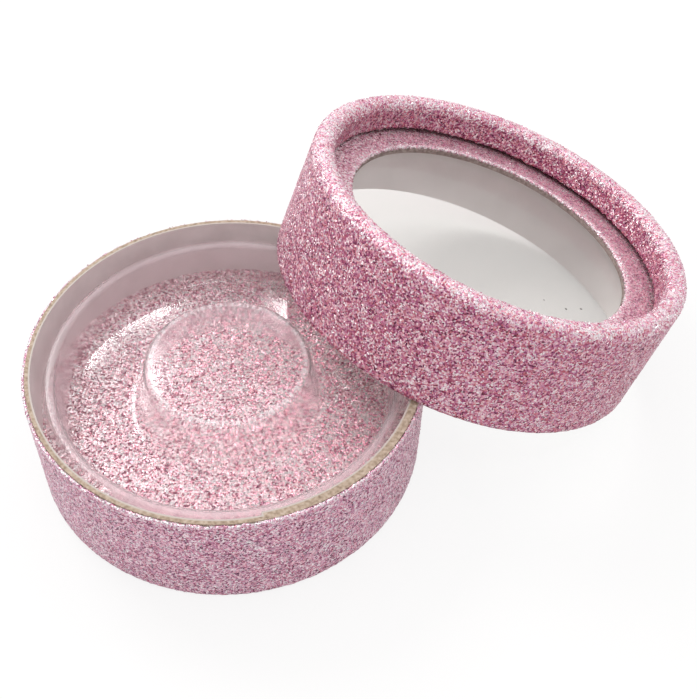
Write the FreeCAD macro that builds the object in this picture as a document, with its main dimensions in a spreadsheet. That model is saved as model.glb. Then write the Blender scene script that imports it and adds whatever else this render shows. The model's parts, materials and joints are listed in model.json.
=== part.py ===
import FreeCAD, Part
import math
import os

import Sketcher
from FreeCAD import Placement, Rotation, Vector

# Round false eyelash case: a paper can covered in glitter paper, with a clear formed lash tray
# in its base and a lift-off lid that has a round window. The base stands on the table and the
# lid is off, leaning with its low edge on the table and its mouth on the rim of the base.
# Millimetres and degrees. The origin is on the table, under the middle of the whole set.

SIZES = {
    # Sheets that both halves of the can are made of
    "glitter_paper": 0.5,
    "board_ply": 0.55,
    "liner_paper": 0.25,
    "glue_gap": 0.1,
    # Base
    "base_radius": 31.0,
    "base_height": 19.6,
    "base_fold_hollow": 0.3,
    "base_fold_rise": 6.9,
    "base_stand_flat": 0.5,
    "bottom_paper": 0.2,
    "disc_board": 0.9,
    "lap_start": 255.0,
    "lap_span": 110.0,
    # Lash tray
    "tray_sheet": 0.35,
    "tray_side_gap": 0.35,
    "tray_seat_gap": 0.05,
    "tray_sink": 2.25,
    "tray_skirt_drop": 2.5,
    "tray_skirt_spread": 0.75,
    "tray_shelf_width": 1.6,
    "tray_wall_draft": 1.0,
    "tray_crest_round": 0.6,
    "tray_shelf_round": 0.9,
    "tray_floor_round": 1.3,
    "trough_width": 10.8,
    "trough_rise": 1.3,
    "boss_sink": 1.45,
    "boss_draft": 1.75,
    "boss_foot_round": 1.5,
    "boss_top_round": 1.3,
    # Lid
    "lid_clearance": 0.45,
    "lid_height": 20.3,
    "lid_inside_depth": 12.75,
    "lid_roll_hollow": 1.6,
    "lid_roll_flat": 0.2,
    "window_film": 0.25,
    "ring_board": 0.8,
    "ring_show": 4.75,
    "ring_shadow_gap": 0.7,
    # Lean of the lid: where its mouth meets the base, as an angle round the mouth
    "lean_contact_angle": 43.8,
    "lean_gap": 0.2,
}

FULL_TURN = 360.0


class Size:
    """A number together with the sheet formula that gives it."""

    def __init__(self, value, formula=None):
        self.value = float(value)
        self.formula = formula or repr(float(value))

    def joined(self, other, sign, value):
        return Size(value, "(" + self.formula + " " + sign + " " + other.formula + ")")

    def __add__(self, other):
        return self.joined(other, "+", self.value + other.value)

    def __sub__(self, other):
        return self.joined(other, "-", self.value - other.value)

    def __mul__(self, other):
        return self.joined(other, "*", self.value * other.value)

    def __truediv__(self, other):
        return self.joined(other, "/", self.value / other.value)


def sine(angle):
    return Size(math.sin(math.radians(angle.value)), "sin(" + angle.formula + ")")


def cosine(angle):
    return Size(math.cos(math.radians(angle.value)), "cos(" + angle.formula + ")")


def arcsine(ratio):
    return Size(math.degrees(math.asin(ratio.value)), "asin(" + ratio.formula + ")")


def root(square):
    return Size(math.sqrt(square.value), "sqrt(" + square.formula + ")")


def fill_sheet(document):
    """Writes the driving sizes into the sheet and returns them by name."""
    sheet = document.addObject("Spreadsheet::Sheet", "Sizes")
    for row, (name, value) in enumerate(SIZES.items(), start=1):
        cell = "B" + str(row)
        sheet.set("A" + str(row), name)
        sheet.set(cell, str(value))
        sheet.setAlias(cell, name)
    document.recompute()
    return {name: Size(value, "Sizes." + name) for name, value in SIZES.items()}


doc = FreeCAD.newDocument("eyelash_case")
size = fill_sheet(doc)
ZERO = Size(0.0)
TWO = Size(2.0)
DEGREES_PER_RADIAN = Size(math.degrees(1.0))
# Leg of the bevel that touches a quarter circle of radius one at its middle
BEVEL_LEG = Size(2.0 - math.sqrt(2.0))


# Sketching and turning

def pin_point(sketch, geometry, point, across, up):
    """Holds a sketch point at a distance from the axis and a height, both bound to the sheet."""
    for kind, length, axis in (("DistanceX", across, -2), ("DistanceY", up, -1)):
        if length is ZERO:
            sketch.addConstraint(Sketcher.Constraint("PointOnObject", geometry, point, axis))
            continue
        held = Sketcher.Constraint(kind, -1, 1, geometry, point, length.value)
        number = sketch.addConstraint(held)
        sketch.setExpression("Constraints[" + str(number) + "]", length.formula)


def draw_outline(sketch, corners):
    """Draws a closed outline. A corner is (across, up) or (across, up, rounding)."""
    spots = [Vector(corner[0].value, corner[1].value, 0) for corner in corners]
    count = len(spots)
    ways = [(spots[(i + 1) % count] - spots[i]).normalize() for i in range(count)]
    rounds = [corner[2] if len(corner) == 3 else None for corner in corners]
    trims = []
    for i, rounding in enumerate(rounds):
        half_turn = ways[i - 1].getAngle(ways[i]) / 2
        trims.append(rounding.value * math.tan(half_turn) if rounding else 0.0)

    lines = []
    for i in range(count):
        following = (i + 1) % count
        start = spots[i] + ways[i] * trims[i]
        end = spots[following] - ways[i] * trims[following]
        lines.append(sketch.addGeometry(Part.LineSegment(start, end), False))

    for i, rounding in enumerate(rounds):
        before = lines[i - 1]
        after = lines[i]
        if rounding is None:
            sketch.addConstraint(Sketcher.Constraint("Coincident", before, 2, after, 1))
            pin_point(sketch, after, 1, corners[i][0], corners[i][1])
        else:
            round_corner(sketch, before, after, spots[i], ways[i - 1], ways[i], rounding)
            corner_mark = sketch.addGeometry(Part.Point(spots[i]), True)
            for line in (before, after):
                sketch.addConstraint(Sketcher.Constraint("PointOnObject", corner_mark, 1, line))
            pin_point(sketch, corner_mark, 1, corners[i][0], corners[i][1])


def round_corner(sketch, before, after, spot, way_in, way_out, rounding):
    """Joins two lines by a tangent arc of the given radius."""
    trim = rounding.value * math.tan(way_in.getAngle(way_out) / 2)
    leave = spot - way_in * trim
    arrive = spot + way_out * trim
    turns_left = way_in.cross(way_out).z > 0
    side = 1.0 if turns_left else -1.0
    centre = leave + Vector(-way_in.y, way_in.x, 0) * (rounding.value * side)
    first, last = (leave, arrive) if turns_left else (arrive, leave)
    first_angle = math.atan2(first.y - centre.y, first.x - centre.x)
    last_angle = math.atan2(last.y - centre.y, last.x - centre.x)
    circle = Part.Circle(centre, Vector(0, 0, 1), rounding.value)
    arc = sketch.addGeometry(Part.ArcOfCircle(circle, first_angle, last_angle), False)
    leave_end, arrive_end = (1, 2) if turns_left else (2, 1)
    sketch.addConstraint(Sketcher.Constraint("Tangent", before, 2, arc, leave_end))
    sketch.addConstraint(Sketcher.Constraint("Tangent", after, 1, arc, arrive_end))
    number = sketch.addConstraint(Sketcher.Constraint("Radius", arc, rounding.value))
    sketch.setExpression("Constraints[" + str(number) + "]", rounding.formula)


def add_turn(body, name, corners, start=None, span=None):
    """Turns an outline about the body's upright axis, all round or from one angle over a span."""
    sketch = body.newObject("Sketcher::SketchObject", name + "_outline")
    planes = {plane.Role: plane for plane in body.Origin.OriginFeatures}
    sketch.AttachmentSupport = [(planes["XZ_Plane"], "")]
    sketch.MapMode = "FlatFace"
    if start is not None:
        sketch.AttachmentOffset = Placement(Vector(), Rotation(Vector(0, 1, 0), start.value))
        sketch.setExpression("AttachmentOffset.Rotation.Angle", start.formula)
    draw_outline(sketch, corners)
    turn = body.newObject("PartDesign::Revolution", name + "_turn")
    turn.Profile = sketch
    turn.ReferenceAxis = (sketch, ["V_Axis"])
    turn.Angle = FULL_TURN
    if span is not None:
        turn.setExpression("Angle", span.formula)


def new_body(label):
    body = doc.addObject("PartDesign::Body", label)
    body.Label = label
    return body


def turned_piece(label, corners):
    body = new_body(label)
    add_turn(body, label, corners)
    return body


def band(inner, outer, low, high):
    """Corners of a plain ring or disc section."""
    return [(inner, low), (outer, low), (outer, high), (inner, high)]


# Walls of the base, from the outside in, and its levels, from the table up

fold_sheets = (size["glitter_paper"] + size["board_ply"]) * TWO
base_fold_width = fold_sheets + size["base_fold_hollow"]
base_board_radius = size["base_radius"] - size["glitter_paper"]
base_board_inside = base_board_radius - size["board_ply"]
lap_inside = base_board_inside - size["board_ply"]
base_fold_inside = size["base_radius"] - base_fold_width
base_fold_round = (base_fold_width - size["base_stand_flat"]) / TWO
disc_radius = base_board_inside - size["glue_gap"]
disc_level = size["base_fold_rise"] + size["bottom_paper"]
floor_paper_level = disc_level + size["disc_board"]
floor_level = floor_paper_level + size["glitter_paper"]


def bevelled_turn(outside, inside, edge, rounding, wall_is_up):
    """Corners of a turn that lies hidden: each quarter circle is one bevel that touches it."""
    leg = rounding * BEVEL_LEG
    beside = edge + leg if wall_is_up else edge - leg
    return [(outside, beside), (outside - leg, edge), (inside + leg, edge), (inside, beside)]


def folded_section(outside, inside, rim, edge, end, thickness, rounding, shows):
    """Section of a sheet that runs along the wall, turns in round the edge and comes back.

    outside and inside are its two front faces, rim and end are where the sheet stops on the
    wall and on the turned-in side, and edge is the level it turns round. Its front is rounded
    where it shows. Its back lies on another sheet.
    """
    wall_is_up = rim.value > edge.value
    outer_back = outside - thickness
    inner_back = inside + thickness
    edge_back = edge + thickness if wall_is_up else edge - thickness
    front = bevelled_turn(outside, inside, edge, rounding, wall_is_up)
    if shows:
        front = [(outside, edge, rounding), (inside, edge, rounding)]
    back = bevelled_turn(outer_back, inner_back, edge_back, rounding - thickness, wall_is_up)
    ends = [(inside, end), (inner_back, end)]
    return [(outside, rim)] + front + ends + back[::-1] + [(outer_back, rim)]


def base_wrap():
    section = folded_section(
        size["base_radius"], base_fold_inside, size["base_height"], ZERO,
        size["base_fold_rise"], size["glitter_paper"], base_fold_round, True)
    return turned_piece("base_wrap", section)


def base_tube():
    """Wound board, one ply all round with a second ply where the winding laps inside."""
    fold_outside = base_fold_inside + size["glitter_paper"]
    fold_back = fold_outside + size["board_ply"]
    board_round = base_fold_round - size["glitter_paper"]
    board_foot = size["glitter_paper"] + size["board_ply"]
    turn = bevelled_turn(base_board_radius, fold_outside, size["glitter_paper"], board_round, True)
    back = [
        (fold_outside, size["base_fold_rise"]),
        (fold_back, size["base_fold_rise"]),
        (fold_back, board_foot),
        (base_board_inside, board_foot),
        (base_board_inside, size["base_height"]),
    ]
    section = [(base_board_radius, size["base_height"])] + turn + back
    body = turned_piece("base_tube", section)
    lap = band(lap_inside, base_board_inside, floor_level, size["base_height"])
    add_turn(body, "base_lap", lap, size["lap_start"], size["lap_span"])
    return body


def base_bottom_paper():
    return turned_piece("base_bottom_paper", band(ZERO, disc_radius, size["base_fold_rise"], disc_level))


def base_disc():
    return turned_piece("base_disc", band(ZERO, disc_radius, disc_level, floor_paper_level))


def base_floor_paper():
    return turned_piece("base_floor_paper", band(ZERO, disc_radius, floor_paper_level, floor_level))


def base_liner():
    """White paper on the inside of the wall, stepping in over the lap of the board."""
    step = size["liner_paper"] / lap_inside * DEGREES_PER_RADIAN
    lap_end = size["lap_start"] + size["lap_span"]
    lap_face = lap_inside - size["liner_paper"]
    wall_face = base_board_inside - size["liner_paper"]
    plain_span = Size(FULL_TURN) - size["lap_span"]
    runs = {
        "plain_run": (wall_face, base_board_inside, lap_end, plain_span),
        "lap_run": (lap_face, lap_inside, size["lap_start"] - step, size["lap_span"] + step + step),
        "first_step": (lap_face, base_board_inside, size["lap_start"] - step, step),
        "last_step": (lap_face, base_board_inside, lap_end, step),
    }
    body = new_body("base_liner")
    for name, (inner, outer, start, span) in runs.items():
        section = band(inner, outer, floor_level, size["base_height"])
        add_turn(body, "liner_" + name, section, start, span)
    return body


def lash_tray():
    """Clear formed sheet: a drooping skirt, a flat shelf, a trough that slopes in to a round boss."""
    sheet = size["tray_sheet"]
    rise = size["trough_rise"]
    edge = lap_inside - size["liner_paper"] - size["tray_side_gap"]
    crest = edge - size["tray_skirt_spread"]
    shelf = crest - size["tray_shelf_width"]
    wall_foot = shelf - size["tray_wall_draft"]
    boss_foot = wall_foot - size["trough_width"]
    boss_edge = boss_foot - size["boss_draft"]
    under = floor_level + size["tray_seat_gap"]
    trough = under + sheet
    top = size["base_height"] - size["tray_sink"]
    skirt_end = top - size["tray_skirt_drop"]
    boss_top = size["base_height"] - size["boss_sink"]
    corners = [
        (edge, skirt_end),
        (crest, top, size["tray_crest_round"]),
        (shelf, top, size["tray_shelf_round"]),
        (wall_foot, trough + rise, size["tray_floor_round"]),
        (boss_foot, trough, size["boss_foot_round"]),
        (boss_edge, boss_top, size["boss_top_round"]),
        (ZERO, boss_top),
        (ZERO, boss_top - sheet),
        (boss_edge - sheet, boss_top - sheet, size["boss_top_round"] - sheet),
        (boss_foot - sheet, under, size["boss_foot_round"] + sheet),
        (wall_foot + sheet, under + rise, size["tray_floor_round"] + sheet),
        (shelf + sheet, top - sheet, size["tray_shelf_round"] - sheet),
        (crest - sheet, top - sheet, size["tray_crest_round"] - sheet),
        (edge - sheet, skirt_end),
    ]
    return turned_piece("lash_tray", corners)


# Walls of the lid, from the inside out, and its levels, from the mouth up

lid_mouth_inside = size["base_radius"] + size["lid_clearance"]
lid_board_inside = lid_mouth_inside + size["liner_paper"]
lid_board_radius = lid_board_inside + size["board_ply"]
lid_radius = lid_board_radius + size["glitter_paper"]
lid_roll_width = fold_sheets + size["lid_roll_hollow"]
lid_roll_inside = lid_radius - lid_roll_width
lid_roll_round = (lid_roll_width - size["lid_roll_flat"]) / TWO
window_radius = lid_roll_inside - size["ring_show"]
ring_radius = lid_board_inside - size["glue_gap"]
ring_level = size["lid_inside_depth"] + size["window_film"]
ring_paper_level = ring_level + size["ring_board"]
ring_top = ring_paper_level + size["glitter_paper"]
roll_end = ring_top + size["ring_shadow_gap"]


def lid_wrap():
    section = folded_section(
        lid_radius, lid_roll_inside, ZERO, size["lid_height"],
        roll_end, size["glitter_paper"], lid_roll_round, True)
    return turned_piece("lid_wrap", section)


def lid_tube():
    section = folded_section(
        lid_board_radius, lid_roll_inside + size["glitter_paper"], ZERO,
        size["lid_height"] - size["glitter_paper"], roll_end, size["board_ply"],
        lid_roll_round - size["glitter_paper"], False)
    return turned_piece("lid_tube", section)


def lid_liner():
    section = band(lid_mouth_inside, lid_board_inside, ZERO, size["lid_inside_depth"])
    return turned_piece("lid_liner", section)


def lid_window():
    return turned_piece("lid_window", band(ZERO, ring_radius, size["lid_inside_depth"], ring_level))


def lid_ring():
    section = band(window_radius, ring_radius, ring_level, ring_paper_level)
    return turned_piece("lid_ring", section)


def lid_ring_paper():
    section = band(window_radius, ring_radius, ring_paper_level, ring_top)
    return turned_piece("lid_ring_paper", section)


# Places. The lid's low edge stands on the table, and the inner edge of its mouth crosses the
# outer edge of the base's rim at two points, level with the rim. Its tilt follows from that.

contact_rise = lid_mouth_inside * cosine(size["lean_contact_angle"])
contact_half = lid_mouth_inside * sine(size["lean_contact_angle"])
contact_reach = root(size["base_radius"] * size["base_radius"] - contact_half * contact_half)
tilt_slope = size["base_height"] / (lid_radius + contact_rise)
tilt = arcsine(tilt_slope)
lean_height = lid_radius * tilt_slope + size["lean_gap"]
lean_reach = contact_reach + contact_rise * cosine(tilt)

roll_height = size["lid_height"] - lid_roll_round
roll_radius = lid_radius - lid_roll_round
lid_far_reach = roll_height * tilt_slope + roll_radius * cosine(tilt) + lid_roll_round
set_middle = (lean_reach + lid_far_reach - size["base_radius"]) / TWO
base_place = ZERO - set_middle
lid_place = lean_reach - set_middle


def place_base(body):
    body.Placement = Placement(Vector(base_place.value, 0, 0), Rotation())
    body.setExpression("Placement.Base.x", base_place.formula)


def place_lid(body):
    spot = Vector(lid_place.value, 0, lean_height.value)
    body.Placement = Placement(spot, Rotation(Vector(0, 1, 0), tilt.value))
    body.setExpression("Placement.Base.x", lid_place.formula)
    body.setExpression("Placement.Base.z", lean_height.formula)
    body.setExpression("Placement.Rotation.Angle", tilt.formula)


def check_document(bodies):
    """Stops if any object failed or any piece is not one sound solid."""
    for item in doc.Objects:
        if "Invalid" in item.State or "Error" in item.State:
            raise RuntimeError(item.Label + " failed: " + ", ".join(item.State))
    for body in bodies:
        shape = body.Shape
        if shape.isNull() or not shape.isValid() or len(shape.Solids) != 1:
            raise RuntimeError(body.Label + " is not one sound solid")


BASE_PIECES = (
    base_tube, base_wrap, base_bottom_paper, base_disc, base_floor_paper, base_liner, lash_tray)
LID_PIECES = (lid_tube, lid_wrap, lid_liner, lid_window, lid_ring, lid_ring_paper)

pieces = []
for make_piece in BASE_PIECES:
    piece = make_piece()
    place_base(piece)
    pieces.append(piece)
for make_piece in LID_PIECES:
    piece = make_piece()
    place_lid(piece)
    pieces.append(piece)

doc.recompute()
check_document(pieces)

os.makedirs("parts", exist_ok=True)
for piece in pieces:
    piece.Shape.exportStep("parts/" + piece.Label + ".step")
    print(piece.Label, "volume", round(piece.Shape.Volume, 2))
print("lean reach", round(lean_reach.value, 3), "height", round(lean_height.value, 3))
print("base at x", round(base_place.value, 3), "lid at x", round(lid_place.value, 3))
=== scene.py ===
import json
import math

import bpy
import numpy as np
from mathutils import Matrix, Vector


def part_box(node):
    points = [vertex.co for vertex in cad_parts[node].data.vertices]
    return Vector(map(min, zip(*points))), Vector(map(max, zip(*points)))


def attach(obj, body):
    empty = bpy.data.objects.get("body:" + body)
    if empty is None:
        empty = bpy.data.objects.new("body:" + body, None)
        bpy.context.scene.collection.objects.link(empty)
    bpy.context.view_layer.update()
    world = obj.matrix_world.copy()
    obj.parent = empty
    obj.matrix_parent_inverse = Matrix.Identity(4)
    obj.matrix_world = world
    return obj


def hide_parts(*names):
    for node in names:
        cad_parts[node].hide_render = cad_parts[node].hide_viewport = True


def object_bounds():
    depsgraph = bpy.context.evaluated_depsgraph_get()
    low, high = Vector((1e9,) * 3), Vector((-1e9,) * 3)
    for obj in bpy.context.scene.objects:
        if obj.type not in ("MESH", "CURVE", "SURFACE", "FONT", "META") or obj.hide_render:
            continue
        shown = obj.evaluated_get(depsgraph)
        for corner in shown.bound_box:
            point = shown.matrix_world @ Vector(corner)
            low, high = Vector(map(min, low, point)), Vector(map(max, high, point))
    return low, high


# Looks of a round glitter-paper eyelash case: the base with its clear tray, and the leaning lid.
# Sizes in the scene are metres. Sizes named here are millimetres, in the frame of the solids.

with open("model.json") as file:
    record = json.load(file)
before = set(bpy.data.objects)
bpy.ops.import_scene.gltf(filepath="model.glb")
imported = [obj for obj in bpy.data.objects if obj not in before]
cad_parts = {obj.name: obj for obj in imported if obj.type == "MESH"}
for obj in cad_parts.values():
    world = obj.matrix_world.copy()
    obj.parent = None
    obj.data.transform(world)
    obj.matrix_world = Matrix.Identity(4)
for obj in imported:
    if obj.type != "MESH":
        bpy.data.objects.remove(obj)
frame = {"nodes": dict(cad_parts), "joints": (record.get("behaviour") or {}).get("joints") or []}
cad_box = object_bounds()

MM = 0.001
FULL_TURN = 2 * math.pi


# Places and main sizes, read from the solids

def box_mm(node):
    low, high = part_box(node)
    return low / MM, high / MM


def joint_axis(name):
    return next(Vector(joint["axis"]) for joint in frame["joints"] if joint["name"] == name)


base_low, base_high = box_mm("base_wrap")
BASE_MIDDLE = (base_low + base_high) / 2
BASE_RADIUS = (base_high.x - base_low.x) / 2
BASE_HEIGHT = base_high.z

lid_low, lid_high = box_mm("lid_wrap")
film_low, film_high = box_mm("lid_window")
LID_RADIUS = (lid_high.y - lid_low.y) / 2
RING_RADIUS = (film_high.y - film_low.y) / 2
LID_AXIS = joint_axis("lid_lift").normalized()

# Sheets and levels that the solids share

WRAP_PAPER = 0.5
BASE_FOLD_WIDTH = 2.4
BASE_FOLD_ROUND = 0.95
BASE_FOLD_RISE = 6.9
LID_HEIGHT = 20.3
LID_ROLL_WIDTH = 3.7
LID_ROLL_ROUND = 1.75
FILM_LEVEL = 12.75
FILM_SHEET = 0.25
RING_BOARD = 0.8
RING_SHADOW_GAP = 0.7
WINDOW_RADIUS = 24.3
RING_PAPER_LEVEL = FILM_LEVEL + FILM_SHEET + RING_BOARD
RING_TOP = RING_PAPER_LEVEL + WRAP_PAPER
ROLL_END = RING_TOP + RING_SHADOW_GAP


def base_place():
    return Matrix.Translation(Vector((BASE_MIDDLE.x, BASE_MIDDLE.y, 0)) * MM)


def lid_place():
    """The lid's own frame: its mouth's middle is the origin and its axis is up."""
    film_middle = (film_low + film_high) / 2
    mouth = film_middle - LID_AXIS * (FILM_LEVEL + FILM_SHEET / 2)
    turn = Vector((0, 0, 1)).rotation_difference(LID_AXIS).to_matrix().to_4x4()
    return Matrix.Translation(mouth * MM) @ turn


# Camera, fitted to the photo

EYE = Vector((-64.4, -102.77, 146.88))
EYE_HEADING = math.radians(30.86)
EYE_PITCH = math.radians(49.02)
EYE_ROLL = math.radians(2.48)
FOCAL_PIXELS = 1085.2
PHOTO_WIDTH = 697
PHOTO_HEIGHT = 699
SENSOR_WIDTH = 36.0


def eye_turn():
    look = Matrix.Rotation(-EYE_HEADING, 4, "Z") @ Matrix.Rotation(math.pi / 2 - EYE_PITCH, 4, "X")
    return look @ Matrix.Rotation(EYE_ROLL, 4, "Z")


# Turned meshes

def arc(middle, radius, start, end, steps):
    """Points on a circular arc in the section plane, angles in degrees."""
    angles = np.radians(np.linspace(start, end, steps))
    across = middle[0] + radius * np.cos(angles)
    up = middle[1] + radius * np.sin(angles)
    return list(zip(across, up))


def spaced(points, spacing):
    """The same line with points at about even spacing."""
    line = np.array(points, float)
    steps = np.linalg.norm(np.diff(line, axis=0), axis=1)
    along = np.concatenate([[0], np.cumsum(steps)])
    count = max(2, int(round(along[-1] / spacing)) + 1)
    wanted = np.linspace(0, along[-1], count)
    return np.column_stack([np.interp(wanted, along, line[:, axis]) for axis in (0, 1)])


def left_normals(line):
    """Unit normals on the left of a line in the section plane."""
    way = np.gradient(line, axis=0)
    way /= np.linalg.norm(way, axis=1)[:, None]
    return np.column_stack([-way[:, 1], way[:, 0]])


def waves(angles, rng, lowest, highest, terms):
    """A smooth random line round the turn, about one high."""
    total = np.zeros_like(angles)
    for _ in range(terms):
        count = rng.integers(lowest, highest + 1)
        total += np.cos(count * angles + rng.uniform(0, FULL_TURN))
    return total / math.sqrt(terms)


def turned_mesh(name, rows, place, skins, wear_and_sheen):
    """Ring whose section is closed: rows is (turn steps, section points, 2) in millimetres.

    skins has a material number for each section point, and the last argument says how far each point is
    paled: rubbed wear at cut edges, and a painted sheen along the lid's crest.
    """
    turns, points, _ = rows.shape
    angles = np.linspace(0, FULL_TURN, turns, endpoint=False)[:, None]
    spots = np.stack([rows[..., 0] * np.cos(angles), rows[..., 0] * np.sin(angles), rows[..., 1]], axis=-1)
    step, point = np.meshgrid(np.arange(turns), np.arange(points), indexing="ij")
    next_step = (step + 1) % turns
    next_point = (point + 1) % points
    corners = [step * points + point, step * points + next_point,
               next_step * points + next_point, next_step * points + point]
    faces = np.stack(corners, axis=-1).reshape(-1, 4)
    mesh = bpy.data.meshes.new(name)
    mesh.from_pydata((spots.reshape(-1, 3) * MM).tolist(), [], faces.tolist())
    mesh.transform(place)
    mesh.polygons.foreach_set("material_index", np.tile(skins, turns).astype(np.int32))
    wear_and_sheen_layer = mesh.attributes.new("wear_and_sheen", "FLOAT", "POINT")
    wear_and_sheen_layer.data.foreach_set("value", np.clip(wear_and_sheen, 0, 1).ravel().astype(np.float32))
    mesh.shade_smooth()
    mesh.update()
    return new_object(name, mesh)


def new_object(name, mesh):
    thing = bpy.data.objects.new(name, mesh)
    bpy.context.scene.collection.objects.link(thing)
    return thing


def dress(thing, *materials):
    thing.data.materials.clear()
    for material in materials:
        thing.data.materials.append(material)


# Node helpers

def new_tree(name):
    material = bpy.data.materials.new(name)
    material.use_nodes = True
    material.node_tree.nodes.clear()
    return material, material.node_tree


def add(tree, kind, inputs=None, **settings):
    """Adds a node. Inputs are values or other nodes' outputs, by name or number."""
    node = tree.nodes.new("ShaderNode" + kind)
    for key, value in settings.items():
        setattr(node, key, value)
    for key, value in (inputs or {}).items():
        if isinstance(value, bpy.types.NodeSocket):
            tree.links.new(value, node.inputs[key])
        else:
            node.inputs[key].default_value = value
    return node


def ramp(tree, factor, stops):
    """Colour ramp from (place, colour) stops."""
    node = add(tree, "ValToRGB", {"Fac": factor})
    band = node.color_ramp
    while len(band.elements) < len(stops):
        band.elements.new(0.5)
    for element, (place, colour) in zip(band.elements, stops):
        element.position = place
        element.color = (*colour, 1)
    return node.outputs["Color"]


def grey(tree, value, from_low, from_high, to_low, to_high):
    """A number moved from one range to another, held at its ends."""
    node = add(tree, "MapRange", {
        "Value": value, "From Min": from_low, "From Max": from_high, "To Min": to_low, "To Max": to_high})
    return node.outputs["Result"]


def object_coordinates(tree):
    return add(tree, "TexCoord").outputs["Object"]


def noise(tree, place, grain, detail=2.0):
    """Noise with features of about the given size in millimetres."""
    node = add(tree, "TexNoise", {"Vector": place, "Scale": 1 / (grain * MM), "Detail": detail})
    return node.outputs["Fac"]


def finish_tree(tree, shader):
    add(tree, "OutputMaterial", {"Surface": shader})


# Materials

NOISE_LOW = 0.3
NOISE_HIGH = 0.7
# Palette shift from the paling attribute: rubbed wear at cut edges, and a painted sheen on the lid's crest
WEAR_AND_SHEEN_SHIFT = 0.35
MOTTLE_GRAIN = 1.6
MOTTLE_SHIFT = 0.09
FLAKE_RELIEF = 0.12


def glitter(name, palette, grain, tilt, metal, rough, hue_spread=0.02):
    """Flakes: cells with their own colour, shine and tilt, on slightly mottled ground."""
    material, tree = new_tree(name)
    place = object_coordinates(tree)
    cells = add(tree, "TexVoronoi", {"Vector": place, "Scale": 1 / (grain * MM), "Randomness": 1.0})
    chance = add(tree, "SeparateColor", {"Color": cells.outputs["Color"]})
    cloud = noise(tree, place, MOTTLE_GRAIN)
    mottle = grey(tree, cloud, NOISE_LOW, NOISE_HIGH, -MOTTLE_SHIFT, MOTTLE_SHIFT)
    # The mesh attribute read here moves flakes up the palette: rubbed wear at the base's rim and the
    # window's edge, and a painted sheen along the lid's crest.
    wear_and_sheen_layer = add(tree, "Attribute", attribute_name="wear_and_sheen").outputs["Fac"]
    shift = add(tree, "Math", {0: wear_and_sheen_layer, 1: WEAR_AND_SHEEN_SHIFT, 2: mottle}, operation="MULTIPLY_ADD")
    shade = add(
        tree, "Math", {0: chance.outputs["Red"], 1: shift.outputs["Value"]}, operation="ADD", use_clamp=True)
    sheen = grey(tree, chance.outputs["Blue"], 0, 1, 0.5 - hue_spread, 0.5 + hue_spread)
    colour = add(tree, "HueSaturation", {"Hue": sheen, "Color": ramp(tree, shade.outputs["Value"], palette)})
    relief = add(tree, "Bump", {
        "Strength": 0.5, "Distance": FLAKE_RELIEF * MM, "Height": cells.outputs["Distance"]}, invert=True)
    lean = add(tree, "VectorMath", {0: cells.outputs["Color"], 1: (0.5, 0.5, 0.5)}, operation="SUBTRACT")
    lean = add(tree, "VectorMath", {0: lean.outputs["Vector"], "Scale": tilt}, operation="SCALE")
    facing = add(tree, "VectorMath", {0: relief.outputs["Normal"], 1: lean.outputs["Vector"]})
    facing = add(tree, "VectorMath", {0: facing.outputs["Vector"]}, operation="NORMALIZE")
    roughness = grey(tree, chance.outputs["Green"], 0, 1, rough[0], rough[1])
    shader = add(tree, "BsdfPrincipled", {
        "Base Color": colour.outputs["Color"], "Metallic": metal, "Roughness": roughness,
        "Normal": facing.outputs["Vector"]})
    finish_tree(tree, shader.outputs["BSDF"])
    return material


CUT_EDGE_COLOUR = (0.50, 0.44, 0.40)
CUT_EDGE_START = 0.08
CUT_EDGE_END = 0.02
PAPER_CLOUD = 6.0
PAPER_FIBRE = 0.25
PAPER_RELIEF = 0.03


def paper(name, low, high, rough, edge_level=None):
    """Smooth paper stock with faint cloudiness and fibres, and a dull cut edge if it has a level."""
    material, tree = new_tree(name)
    place = object_coordinates(tree)
    cloud = noise(tree, place, PAPER_CLOUD, 4.0)
    fibre = noise(tree, place, PAPER_FIBRE, 3.0)
    colour = ramp(tree, cloud, [(NOISE_LOW, low), (NOISE_HIGH, high)])
    if edge_level is not None:
        height = add(tree, "SeparateXYZ", {"Vector": place}).outputs["Z"]
        start = (edge_level - CUT_EDGE_START) * MM
        at_edge = grey(tree, height, start, (edge_level - CUT_EDGE_END) * MM, 0, 1)
        mix = add(tree, "Mix", {"Factor": at_edge, 6: colour, 7: (*CUT_EDGE_COLOUR, 1)}, data_type="RGBA")
        colour = mix.outputs[2]
    relief = add(tree, "Bump", {"Strength": 0.12, "Distance": PAPER_RELIEF * MM, "Height": fibre})
    shader = add(tree, "BsdfPrincipled", {
        "Base Color": colour, "Roughness": grey(tree, fibre, NOISE_LOW, NOISE_HIGH, rough[0], rough[1]),
        "Normal": relief.outputs["Normal"]})
    finish_tree(tree, shader.outputs["BSDF"])
    return material


BOARD_FIBRE = 0.5
BOARD_RELIEF = 0.08


def board(name, dark, middle, light):
    """Raw board, speckled and fibrous."""
    material, tree = new_tree(name)
    place = object_coordinates(tree)
    fibre = noise(tree, place, BOARD_FIBRE, 5.0)
    colour = ramp(tree, fibre, [(0.25, dark), (0.5, middle), (0.75, light)])
    relief = add(tree, "Bump", {"Strength": 0.6, "Distance": BOARD_RELIEF * MM, "Height": fibre})
    shader = add(tree, "BsdfPrincipled", {
        "Base Color": colour, "Roughness": grey(tree, fibre, NOISE_LOW, NOISE_HIGH, 0.95, 0.75),
        "Normal": relief.outputs["Normal"]})
    finish_tree(tree, shader.outputs["BSDF"])
    return material


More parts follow.
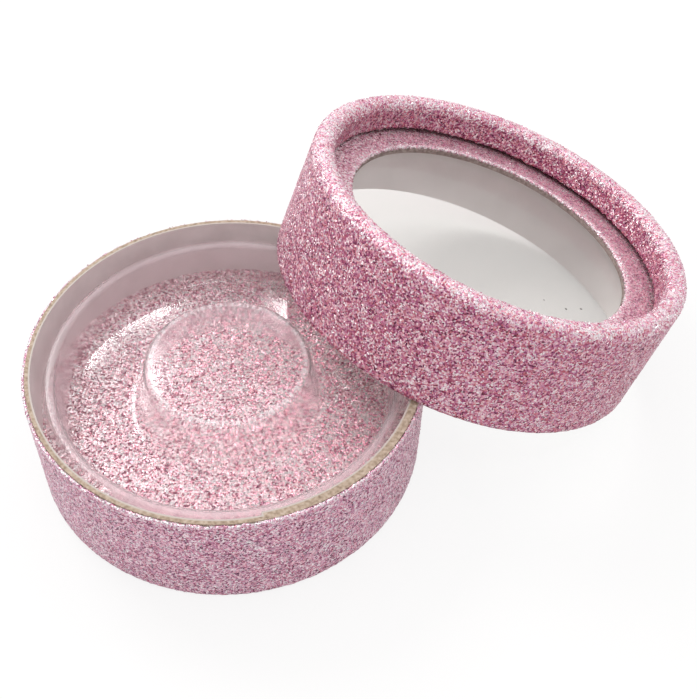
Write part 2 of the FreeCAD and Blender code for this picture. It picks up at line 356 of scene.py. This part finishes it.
def let_lamps_through(tree, shader, tint):
    """Lamp light and soft bounces go straight through a clear sheet."""
    path = add(tree, "LightPath")
    soft = add(tree, "Math", {0: path.outputs["Is Shadow Ray"], 1: path.outputs["Is Diffuse Ray"]},
               operation="MAXIMUM")
    clear = add(tree, "BsdfTransparent", {"Color": tint})
    mix = add(tree, "MixShader", {0: soft.outputs["Value"], 1: shader, 2: clear.outputs["BSDF"]})
    return mix.outputs["Shader"]


# Haze of the tray, and milkiness on the boss's shoulder that paints in a highlight, as (radius, share) stops
# from its middle outwards

TRAY_EDGE_RADIUS = 30.0
TRAY_HAZE = [
    (12.2, 0.0), (13.0, 0.42), (14.8, 0.42), (15.8, 0.0), (25.0, 0.0), (26.0, 0.6), (27.3, 0.6), (28.2, 0.2)]
SHOULDER_HIGHLIGHT_MILK = [(11.6, 0.0), (11.9, 0.3), (12.3, 0.3), (12.7, 0.0)]
PLEATS_PER_RADIAN = 20.0
PLEAT_RELIEF = 0.12
RIPPLE_GRAIN = 5.0
RIPPLE_RELIEF = 0.2
SMEAR_GRAIN = 9.0


def by_reach(tree, reach, stops):
    """A grey value from (radius, share) stops across the tray."""
    return ramp(tree, reach, [(radius / TRAY_EDGE_RADIUS, (share,) * 3) for radius, share in stops])


def clear_tray():
    """Formed clear sheet: clear where it is flat, drawn hazy and finely pleated on its walls and shelf."""
    material, tree = new_tree("clear_tray_sheet")
    place = object_coordinates(tree)
    middle = (BASE_MIDDLE.x * MM, BASE_MIDDLE.y * MM, 0)
    offset = add(tree, "VectorMath", {0: place, 1: middle}, operation="SUBTRACT").outputs["Vector"]
    level = add(tree, "VectorMath", {0: offset, 1: (1, 1, 0)}, operation="MULTIPLY").outputs["Vector"]
    reach = add(tree, "VectorMath", {0: level}, operation="LENGTH").outputs["Value"]
    reach = grey(tree, reach, 0, TRAY_EDGE_RADIUS * MM, 0, 1)
    haze = by_reach(tree, reach, TRAY_HAZE)
    parts = add(tree, "SeparateXYZ", {"Vector": level})
    angle = add(tree, "Math", {0: parts.outputs["Y"], 1: parts.outputs["X"]}, operation="ARCTAN2")
    pleat = add(
        tree, "TexNoise", {"W": angle.outputs["Value"], "Scale": PLEATS_PER_RADIAN},
        noise_dimensions="1D").outputs["Fac"]
    # Painted highlight: milky white ticks round the boss's shoulder stand in for the streaks of light on
    # that round.
    highlight_tick = grey(tree, pleat, 0.46, 0.58, 0.12, 1)
    highlight_milk = add(tree, "Math", {0: by_reach(tree, reach, SHOULDER_HIGHLIGHT_MILK), 1: highlight_tick}, operation="MULTIPLY")
    hazy = grey(tree, haze, 0, 1, 1.0, 0.85)
    clear = add(tree, "Math", {0: hazy, 1: highlight_milk.outputs["Value"]}, operation="SUBTRACT")
    swell = noise(tree, place, RIPPLE_GRAIN, 1.0)
    ripple = add(tree, "Bump", {"Strength": 0.03, "Distance": RIPPLE_RELIEF * MM, "Height": swell})
    relief = add(tree, "Bump", {
        "Strength": grey(tree, haze, 0, 1, 0, 0.8), "Distance": PLEAT_RELIEF * MM, "Height": pleat,
        "Normal": ripple.outputs["Normal"]})
    shader = add(tree, "BsdfPrincipled", {
        "Base Color": ramp(tree, haze, [(0, (0.98, 0.96, 0.97)), (1, (0.95, 0.86, 0.88))]),
        "Roughness": grey(tree, haze, 0, 1, 0.03, 0.42), "IOR": grey(tree, haze, 0, 1, 1.03, 1.14),
        "Transmission Weight": clear.outputs["Value"],
        "Coat Weight": 0.8, "Coat IOR": 1.4, "Coat Roughness": grey(tree, haze, 0, 0.5, 0.06, 0.26),
        "Normal": relief.outputs["Normal"]})
    finish_tree(tree, let_lamps_through(tree, shader.outputs["BSDF"], (0.98, 0.97, 0.975, 1)))
    return material


def clear_film():
    """Flat window film with faint smears."""
    material, tree = new_tree("clear_window_film")
    place = object_coordinates(tree)
    smear = noise(tree, place, SMEAR_GRAIN, 3.0)
    shader = add(tree, "BsdfPrincipled", {
        "Base Color": (0.96, 0.95, 0.93, 1), "Roughness": grey(tree, smear, 0.35, 0.7, 0.02, 0.09),
        "IOR": 1.12, "Transmission Weight": 1.0})
    finish_tree(tree, let_lamps_through(tree, shader.outputs["BSDF"], (0.95, 0.94, 0.93, 1)))
    return material


LID_PALETTE = [
    (0.0, (0.12, 0.02, 0.06)), (0.2, (0.42, 0.08, 0.18)), (0.5, (0.64, 0.23, 0.34)),
    (0.8, (0.83, 0.51, 0.60)), (1.0, (0.96, 0.86, 0.89))]
BASE_PALETTE = [
    (0.0, (0.10, 0.02, 0.06)), (0.2, (0.44, 0.12, 0.24)), (0.5, (0.79, 0.39, 0.53)),
    (0.8, (0.95, 0.68, 0.79)), (1.0, (1.0, 0.95, 0.98))]
FLOOR_PALETTE = [
    (0.0, (0.26, 0.05, 0.10)), (0.25, (0.58, 0.25, 0.32)), (0.5, (0.84, 0.56, 0.60)),
    (0.75, (0.97, 0.83, 0.84)), (1.0, (1.0, 0.99, 0.99))]
RING_PALETTE = [
    (0.0, (0.20, 0.05, 0.10)), (0.2, (0.50, 0.18, 0.27)), (0.5, (0.72, 0.38, 0.47)),
    (0.8, (0.88, 0.64, 0.70)), (1.0, (0.97, 0.90, 0.92))]
SPARK_PALETTE = [
    (0.0, (0.60, 0.18, 0.30)), (0.35, (0.84, 0.52, 0.62)), (0.7, (0.94, 0.82, 0.86)),
    (1.0, (0.97, 0.95, 0.96))]
SPECK_PALETTE = [(0.0, (0.05, 0.04, 0.04)), (1.0, (0.20, 0.16, 0.16))]

lid_glitter = glitter("lid_glitter_paper", LID_PALETTE, 0.25, 1.1, 0.45, (0.20, 0.50), 0.035)
ring_glitter = glitter("ring_glitter_paper", RING_PALETTE, 0.24, 1.1, 0.45, (0.20, 0.50))
base_glitter = glitter("base_glitter_paper", BASE_PALETTE, 0.24, 1.25, 0.55, (0.14, 0.42), 0.03)
floor_glitter = glitter("floor_glitter_paper", FLOOR_PALETTE, 0.27, 1.3, 0.5, (0.12, 0.36))
flake_foil = glitter("loose_flakes", SPARK_PALETTE, 0.9, 0.0, 0.6, (0.15, 0.40))
dark_speck = glitter("dark_specks", SPECK_PALETTE, 0.9, 0.0, 0.0, (0.6, 0.8))
white_paper = paper("white_paper", (0.76, 0.73, 0.74), (0.84, 0.81, 0.82), (0.5, 0.7))
# The base's liner is a darker, warmer copy of the white paper: painted shade on the inner wall of the base.
shaded_liner_paper = paper(
    "shaded_liner_paper", (0.66, 0.59, 0.575), (0.79, 0.72, 0.705), (0.5, 0.7), edge_level=BASE_HEIGHT)
# The lid's liner is a lighter copy of the white paper: painted light inside the lid.
lightened_liner_paper = paper("lightened_liner_paper", (0.88, 0.87, 0.86), (0.94, 0.93, 0.92), (0.5, 0.7))
paper_core = paper("torn_paper_core", (0.72, 0.55, 0.58), (0.90, 0.80, 0.82), (0.8, 0.95))
raw_board = board("raw_board", (0.20, 0.14, 0.10), (0.41, 0.31, 0.23), (0.58, 0.48, 0.39))
# The ring's cut edge is a darker, greyer copy of the raw board: painted shade on the edge of the window.
shaded_ring_edge_board = board("shaded_ring_edge_board", (0.14, 0.10, 0.09), (0.30, 0.23, 0.21), (0.48, 0.40, 0.36))
tray_sheet = clear_tray()
window_film = clear_film()


# Glitter paper of the lid and the base

GRAIN_RELIEF = 0.10
ROW_SPACING = 0.45
TURN_STEPS = 460
EDGE_REACH = 1.2
TURN_ANGLES = np.linspace(0, FULL_TURN, TURN_STEPS, endpoint=False)
LID_SEED = 11
BASE_SEED = 12
RING_SEED = 13
FLAKE_SEED = 21
SPECK_SEED = 22


def ragged(rng, depth):
    """How far a cut edge stands back round the turn: long waves, short tears and fibres."""
    long_waves = waves(TURN_ANGLES, rng, 3, 14, 6)
    tears = waves(TURN_ANGLES, rng, 40, 130, 12)
    fibres = rng.uniform(-1, 1, TURN_STEPS)
    return depth * (0.35 * long_waves + 0.45 * tears + 0.35 * fibres)


def wrap_rows(front, back, rng):
    """Rows of a paper ring: the front is evenly spaced and grainy, the back is left plain."""
    line = spaced(front, ROW_SPACING)
    inward = -left_normals(line)
    depth = rng.uniform(0, GRAIN_RELIEF, (TURN_STEPS, len(line)))
    rows = line[None] + inward[None] * depth[..., None]
    behind = np.broadcast_to(np.array(back, float)[None], (TURN_STEPS, len(back), 2))
    return np.concatenate([rows, behind], axis=1), line


def shift_level(rows, edge_level, shift):
    """Moves the points near a level up or down, fading out over the reach of the edge."""
    fade = np.clip(1 - np.abs(rows[..., 1] - edge_level) / EDGE_REACH, 0, 1)
    rows[..., 1] += fade * shift[:, None]


def paper_skins(rows, line):
    """Skin numbers along the section: glitter in front, torn core on the two cut ends."""
    skins = [0] * rows.shape[1]
    skins[len(line) - 1] = 1
    skins[-1] = 1
    return skins


def finish_paper(thing, glitter_material, body, node):
    dress(thing, glitter_material, paper_core)
    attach(thing, body)
    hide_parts(node)


def lid_front():
    """Front line of the lid's wrap, from the end of the roll over its top and down the wall."""
    inner = LID_RADIUS - LID_ROLL_WIDTH
    middle = LID_HEIGHT - LID_ROLL_ROUND
    front = [(inner, ROLL_END)]
    front += arc((inner + LID_ROLL_ROUND, middle), LID_ROLL_ROUND, 180, 90, 12)
    front += arc((LID_RADIUS - LID_ROLL_ROUND, middle), LID_ROLL_ROUND, 90, 0, 12)
    return front + [(LID_RADIUS, 0)]


# Depth and patches of the painted sheen along the top of the lid's roll
LID_CREST_SHEEN_DEPTH = 2.0
CREST_SHEEN_PATCHES = 0.35
ROLL_GATHER = 0.06
ROLL_END_TEAR = 0.22


def lid_wrap():
    rng = np.random.default_rng(LID_SEED)
    inner = LID_RADIUS - LID_ROLL_WIDTH
    middle = LID_HEIGHT - LID_ROLL_ROUND
    back_round = LID_ROLL_ROUND - WRAP_PAPER
    back = [(LID_RADIUS - WRAP_PAPER, 0)]
    back += arc((LID_RADIUS - LID_ROLL_ROUND, middle), back_round, 0, 90, 5)
    back += arc((inner + LID_ROLL_ROUND, middle), back_round, 90, 180, 5)
    back += [(inner + WRAP_PAPER, ROLL_END)]
    rows, line = wrap_rows(lid_front(), back, rng)
    gathers = ROLL_GATHER * np.abs(waves(TURN_ANGLES, rng, 90, 170, 10))
    rows[..., 0] += gathers[:, None] * (rows[..., 0] < LID_RADIUS - LID_ROLL_ROUND)
    shift_level(rows, ROLL_END, ragged(rng, ROLL_END_TEAR))
    # Painted sheen: the glitter is paled towards the top of the roll, in patches round the turn, as a
    # highlight along the bead.
    crest_sheen = (rows[..., 1] - LID_HEIGHT) / LID_CREST_SHEEN_DEPTH + 1
    wear_and_sheen = crest_sheen * (1 + CREST_SHEEN_PATCHES * waves(TURN_ANGLES, rng, 2, 9, 5))[:, None]
    thing = turned_mesh("lid_wrap_paper", rows, lid_place(), paper_skins(rows, line), wear_and_sheen)
    finish_paper(thing, lid_glitter, "lid", "lid_wrap")


def base_front():
    """Front line of the base's wrap, from the rim down the wall and round the turned-in edge."""
    inner = BASE_RADIUS - BASE_FOLD_WIDTH
    front = [(BASE_RADIUS, BASE_HEIGHT)]
    front += arc((BASE_RADIUS - BASE_FOLD_ROUND, BASE_FOLD_ROUND), BASE_FOLD_ROUND, 0, -90, 8)
    front += arc((inner + BASE_FOLD_ROUND, BASE_FOLD_ROUND), BASE_FOLD_ROUND, 270, 180, 8)
    return front + [(inner, BASE_FOLD_RISE)]


BASE_EDGE_DROP = 0.12
BASE_EDGE_SKEW = 0.32
BASE_EDGE_LOW_SIDE = math.radians(85)
BASE_EDGE_TEAR = 0.14
BASE_PALE_DEPTH = 0.9


def base_wrap():
    rng = np.random.default_rng(BASE_SEED)
    inner = BASE_RADIUS - BASE_FOLD_WIDTH
    back_round = BASE_FOLD_ROUND - WRAP_PAPER
    back = [(inner + WRAP_PAPER, BASE_FOLD_RISE)]
    back += arc((inner + BASE_FOLD_ROUND, BASE_FOLD_ROUND), back_round, 180, 270, 4)
    back += arc((BASE_RADIUS - BASE_FOLD_ROUND, BASE_FOLD_ROUND), back_round, -90, 0, 4)
    back += [(BASE_RADIUS - WRAP_PAPER, BASE_HEIGHT)]
    rows, line = wrap_rows(base_front(), back, rng)
    skew = BASE_EDGE_SKEW * (1 + np.cos(TURN_ANGLES - BASE_EDGE_LOW_SIDE)) / 2
    shift_level(rows, BASE_HEIGHT, np.minimum(ragged(rng, BASE_EDGE_TEAR) - BASE_EDGE_DROP - skew, 0))
    wear_and_sheen = (rows[..., 1] - BASE_HEIGHT) / BASE_PALE_DEPTH + 1
    thing = turned_mesh("base_wrap_paper", rows, base_place(), paper_skins(rows, line), wear_and_sheen)
    finish_paper(thing, base_glitter, "base", "base_wrap")


RING_EDGE_ROUND = 0.2
RING_EDGE_TEAR = 0.16


def ring_front():
    """Front line of the ring's paper, from the window's edge outwards."""
    front = [(WINDOW_RADIUS, RING_PAPER_LEVEL)]
    front += arc((WINDOW_RADIUS + RING_EDGE_ROUND, RING_TOP - RING_EDGE_ROUND), RING_EDGE_ROUND, 180, 90, 5)
    return front + [(RING_RADIUS, RING_TOP)]


def ring_paper():
    rng = np.random.default_rng(RING_SEED)
    rows, line = wrap_rows(ring_front(), [(RING_RADIUS, RING_PAPER_LEVEL)], rng)
    fade = np.clip(1 - (rows[..., 0] - WINDOW_RADIUS) / EDGE_REACH, 0, 1)
    rows[..., 0] += fade * ragged(rng, RING_EDGE_TEAR)[:, None]
    thing = turned_mesh("lid_ring_glitter", rows, lid_place(), [0] * rows.shape[1], fade)
    dress(thing, ring_glitter)
    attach(thing, "lid")
    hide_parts("lid_ring_paper")


# Loose flakes that stand up from the papers

FLAKE_ACROSS = 0.27
SPECK_ACROSS = 0.38
FLAKE_SHEET = 0.03
FLAKE_SINK = 0.06
FLAKE_SIDES = 6
LID_FLAKES = 7000
RING_FLAKES = 800
BASE_FLAKES = 1500
WRAP_FLAKE_LEAN = 0.7
RING_FLAKE_LEAN = 0.8
SPECK_LEAN = 0.02


def scatter(front, count, rng, liking):
    """Random spots on a turned line, with normals. liking(radius, height) says where they gather."""
    line = spaced(front, 0.1)
    normals = left_normals(line)
    chance = liking(line[:, 0], line[:, 1]) * line[:, 0]
    picks = rng.choice(len(line), count, p=chance / chance.sum())
    angles = rng.uniform(0, FULL_TURN, count)
    spot_line = line[picks] - normals[picks] * FLAKE_SINK

    def turned(across, up):
        return np.column_stack([across * np.cos(angles), across * np.sin(angles), up])

    return turned(*spot_line.T), turned(*normals[picks].T)


def flakes(name, spots, normals, rng, across, lean, place, material, body):
    """Small six-sided flakes at spots, each leaning its own way. None leaves the box of the solids."""
    count = len(spots)
    facing = normals + lean * rng.normal(size=(count, 3))
    facing /= np.linalg.norm(facing, axis=1)[:, None]
    aside = np.cross(facing, rng.normal(size=(count, 3)))
    aside /= np.linalg.norm(aside, axis=1)[:, None]
    ahead = np.cross(facing, aside)
    radius = across / 2 * rng.uniform(0.65, 1.25, count)
    turns = np.arange(FLAKE_SIDES) / FLAKE_SIDES * FULL_TURN
    ring = np.cos(turns)[None, :, None] * aside[:, None] + np.sin(turns)[None, :, None] * ahead[:, None]
    ring = spots[:, None] + ring * radius[:, None, None]
    half = facing[:, None] * FLAKE_SHEET / 2
    corners = np.concatenate([ring - half, ring + half], axis=1) * MM
    corners = corners @ np.array(place.to_3x3()).T + np.array(place.translation)
    low_corner, high_corner = np.array(cad_box)
    corners = corners[np.all((corners > low_corner) & (corners < high_corner), axis=(1, 2))]
    faces = []
    for first in range(0, len(corners) * 2 * FLAKE_SIDES, 2 * FLAKE_SIDES):
        low = [first + side for side in range(FLAKE_SIDES)]
        high = [corner + FLAKE_SIDES for corner in low]
        faces += [low[::-1], high]
        faces += [(low[side - 1], low[side], high[side], high[side - 1]) for side in range(FLAKE_SIDES)]
    mesh = bpy.data.meshes.new(name)
    mesh.from_pydata(corners.reshape(-1, 3).tolist(), [], faces)
    mesh.update()
    thing = new_object(name, mesh)
    dress(thing, material)
    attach(thing, body)


def loose_flakes():
    rng = np.random.default_rng(FLAKE_SEED)

    def near_crest(radius, height):
        return 0.2 + 3.0 * (height > LID_HEIGHT - LID_ROLL_ROUND)

    spots, normals = scatter(lid_front(), LID_FLAKES, rng, near_crest)
    flakes(
        "lid_flakes", spots, normals, rng, FLAKE_ACROSS, WRAP_FLAKE_LEAN, lid_place(), flake_foil,
        "lid")

    def near_window(radius, height):
        return 0.15 + 3.0 * (radius < WINDOW_RADIUS + 0.7)

    inside_roll = [point for point in ring_front() if point[0] < RING_RADIUS]
    inside_roll.append((LID_RADIUS - LID_ROLL_WIDTH, RING_TOP))
    spots, normals = scatter(inside_roll, RING_FLAKES, rng, near_window)
    flakes(
        "ring_flakes", spots, normals, rng, FLAKE_ACROSS, RING_FLAKE_LEAN, lid_place(), flake_foil,
        "lid")

    def near_rim(radius, height):
        return 0.3 + 6.0 * (height > BASE_HEIGHT - 0.9)

    wall = [(BASE_RADIUS, BASE_HEIGHT - BASE_EDGE_DROP - BASE_EDGE_SKEW / 2), (BASE_RADIUS, BASE_FOLD_ROUND)]
    spots, normals = scatter(wall, BASE_FLAKES, rng, near_rim)
    flakes(
        "base_flakes", spots, normals, rng, FLAKE_ACROSS, WRAP_FLAKE_LEAN, base_place(), flake_foil,
        "base")


FILM_SPECK_PIXELS = [(402, 246), (418, 258), (544, 300), (566, 309), (581, 309)]


def film_specks():
    """Dark specks on the film, where the photo's pixels meet it."""
    rng = np.random.default_rng(SPECK_SEED)
    to_lid = lid_place().inverted()
    eye = to_lid @ (EYE * MM) / MM
    level = FILM_LEVEL + FILM_SHEET
    spots = []
    for across, down in FILM_SPECK_PIXELS:
        sight = Vector((across - PHOTO_WIDTH / 2, PHOTO_HEIGHT / 2 - down, -FOCAL_PIXELS))
        sight = to_lid.to_3x3() @ eye_turn().to_3x3() @ sight
        spots.append(eye + sight * ((level - eye.z) / sight.z))
    normals = np.tile((0.0, 0.0, 1.0), (len(spots), 1))
    spots = np.array(spots)
    flakes(
        "film_specks", spots, normals, rng, SPECK_ACROSS, SPECK_LEAN, lid_place(), dark_speck,
        "lid")


def dress_solids():
    finishes = {
        "base_tube": raw_board, "base_disc": raw_board, "lid_tube": raw_board, "lid_ring": shaded_ring_edge_board,
        "base_bottom_paper": white_paper, "base_liner": shaded_liner_paper, "lid_liner": lightened_liner_paper,
        "base_floor_paper": floor_glitter, "lash_tray": tray_sheet, "lid_window": window_film,
    }
    for node, material in finishes.items():
        dress(frame["nodes"][node], material)


lid_wrap()
base_wrap()
ring_paper()
loose_flakes()
film_specks()
dress_solids()


# Table, light and camera

FLOOR_SIZE = 6.0
TABLE_COLOUR = (0.68, 0.67, 0.66, 1)
BACKGROUND_SHARE = 0.78
THROUGH_FILM_SHARE = 0.35
BACKGROUND_GLOW = 1.06


def table():
    mesh = bpy.data.meshes.new("table")
    half = FLOOR_SIZE / 2
    corners = [(-half, -half, 0), (half, -half, 0), (half, half, 0), (-half, half, 0)]
    mesh.from_pydata(corners, [], [(0, 1, 2, 3)])
    floor = new_object("table", mesh)
    material, tree = new_tree("pale_table")
    path = add(tree, "LightPath")
    seen = {"Is Camera Ray": BACKGROUND_SHARE, "Is Glossy Ray": THROUGH_FILM_SHARE}
    direct, through = [
        add(tree, "Math", {0: path.outputs[ray], 1: share}, operation="MULTIPLY").outputs["Value"]
        for ray, share in seen.items()]
    share = add(tree, "Math", {0: direct, 1: through}, operation="MAXIMUM").outputs["Value"]
    plain = add(tree, "BsdfDiffuse", {"Color": TABLE_COLOUR})
    glow = add(tree, "Emission", {"Color": (1, 1, 1, 1), "Strength": BACKGROUND_GLOW})
    mix = add(tree, "MixShader", {0: share, 1: plain.outputs["BSDF"], 2: glow.outputs["Emission"]})
    finish_tree(tree, mix.outputs["Shader"])
    dress(floor, material)


BRIGHT_SIDE = Vector((0.30, 0.50, 0.81))
SKY_DIM = 0.72
SKY_BRIGHT = 0.96


def surroundings():
    """Sky that is brighter above and behind the case; plain white where it is looked at."""
    world = bpy.data.worlds.new("studio")
    bpy.context.scene.world = world
    world.use_nodes = True
    tree = world.node_tree
    tree.nodes.clear()
    direction = add(tree, "TexCoord").outputs["Generated"]
    towards = add(tree, "VectorMath", {0: direction, 1: BRIGHT_SIDE}, operation="DOT_PRODUCT")
    sky = grey(tree, towards.outputs["Value"], -0.3, 0.9, SKY_DIM, SKY_BRIGHT)
    looked_at = add(tree, "LightPath").outputs["Is Camera Ray"]
    strength = add(tree, "Math", {0: sky, 1: looked_at}, operation="MAXIMUM").outputs["Value"]
    light = add(tree, "Background", {"Color": (1, 1, 1, 1), "Strength": strength})
    add(tree, "OutputWorld", {"Surface": light.outputs["Background"]})


def soft_lamp(name, spot, target, width, height, watts):
    """Rectangular soft lamp at a spot, turned to a target. Places in millimetres."""
    data = bpy.data.lights.new(name, "AREA")
    data.shape = "RECTANGLE"
    data.size = width * MM
    data.size_y = height * MM
    data.energy = watts
    lamp = bpy.data.objects.new(name, data)
    bpy.context.scene.collection.objects.link(lamp)
    lamp.location = Vector(spot) * MM
    lamp.rotation_euler = (Vector(target) - Vector(spot)).to_track_quat("-Z", "Y").to_euler()
    lamp.visible_camera = False


ON_BASE = (-25, 0, 15)
ON_CASE = (0, 0, 10)
ON_BOSS = (-35, 3, 18)


def studio():
    """Broad soft lamps, and narrow ones that the tray mirrors as the highlights of the photo."""
    soft_lamp("back_left", (-130, 440, 450), ON_BASE, 240, 240, 1.7)
    soft_lamp("front_top", (-25, -250, 650), ON_BASE, 220, 60, 0.35)
    soft_lamp("upper_right", (300, 140, 560), ON_CASE, 300, 300, 0.3)
    soft_lamp("overhead", (0, 40, 700), ON_CASE, 300, 300, 0.2)
    soft_lamp("crescent", (156, 731, 900), ON_BOSS, 12, 60, 0.032)
    soft_lamp("crescent_fade", (164, 729, 900), ON_BOSS, 28, 66, 0.022)
    soft_lamp("streak", (216, 552, 900), (-31, 20, 10), 14, 80, 0.14)
    soft_lamp("wedge", (144, 538, 900), (-8, 13, 10), 20, 28, 0.06)


def camera():
    data = bpy.data.cameras.new("camera")
    data.sensor_fit = "HORIZONTAL"
    data.sensor_width = SENSOR_WIDTH
    data.lens = FOCAL_PIXELS / PHOTO_WIDTH * SENSOR_WIDTH
    data.clip_start = 0.005
    eye = bpy.data.objects.new("camera", data)
    bpy.context.scene.collection.objects.link(eye)
    eye.matrix_world = Matrix.Translation(EYE * MM) @ eye_turn()
    bpy.context.scene.camera = eye


table()
surroundings()
studio()
camera()
bpy.context.scene.view_settings.view_transform = "Standard"
